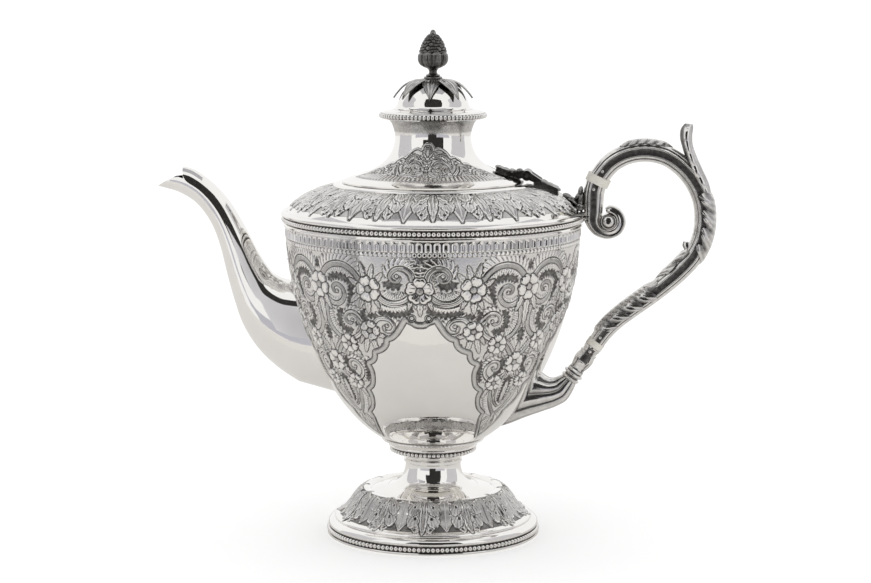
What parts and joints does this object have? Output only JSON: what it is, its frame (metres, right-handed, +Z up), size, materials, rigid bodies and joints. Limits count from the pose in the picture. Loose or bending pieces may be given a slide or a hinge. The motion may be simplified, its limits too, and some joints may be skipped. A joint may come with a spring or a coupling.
{
  "type": "coffee pot",
  "caption": "Footed silver coffee pot with a chased vase body, swan-neck spout, hinged domed lid with finial, and an insulated scroll handle.",
  "frame": {"origin": "centre of the foot, on the plane that it stands on", "axes": "+Z up, +X towards the handle, -X towards the spout, -Y is the side that the picture shows"},
  "size_m": [0.2994, 0.1616, 0.27],
  "materials": {
    "polished_silver": "polished silver",
    "chased_silver": "chased and oxidised silver",
    "cast_silver": "cast silver with dark recesses",
    "ivory": "aged ivory"
  },
  "bodies": {
    "pot": {"bowl": "chased_silver", "shoulder": "chased_silver", "shoulder_lip": "polished_silver", "rim_moulding": "polished_silver", "rim_beading": "polished_silver", "spout": "polished_silver", "collar": "polished_silver", "collar_wire": "polished_silver", "collar_beading": "polished_silver", "stem": "polished_silver", "foot": "chased_silver", "foot_rim": "polished_silver", "foot_beading": "polished_silver", "body_hinge": "cast_silver", "hinge_pin": "polished_silver", "upper_bracket": "cast_silver", "upper_socket": "cast_silver", "upper_insulator": "ivory", "upper_pins": "polished_silver", "handle": "cast_silver", "lower_insulator": "ivory", "lower_pins": "polished_silver", "lower_socket": "cast_silver", "lower_knop": "cast_silver", "lower_mount": "cast_silver"},
    "lid": {"lid_skirt": "chased_silver", "lid_bezel": "polished_silver", "lid_flange": "polished_silver", "lid_beading": "polished_silver", "lid_dome": "polished_silver", "calyx": "cast_silver", "finial": "cast_silver", "finial_nut": "polished_silver", "lid_hinge": "cast_silver"}
  },
  "joints": [
    {"name": "lid_hinge", "type": "hinge", "parent": "pot", "child": "lid", "pos_m": [0.05, 0, 0.194], "axis": [0, 1, 0], "range_deg": [0, 95]}
  ]
}
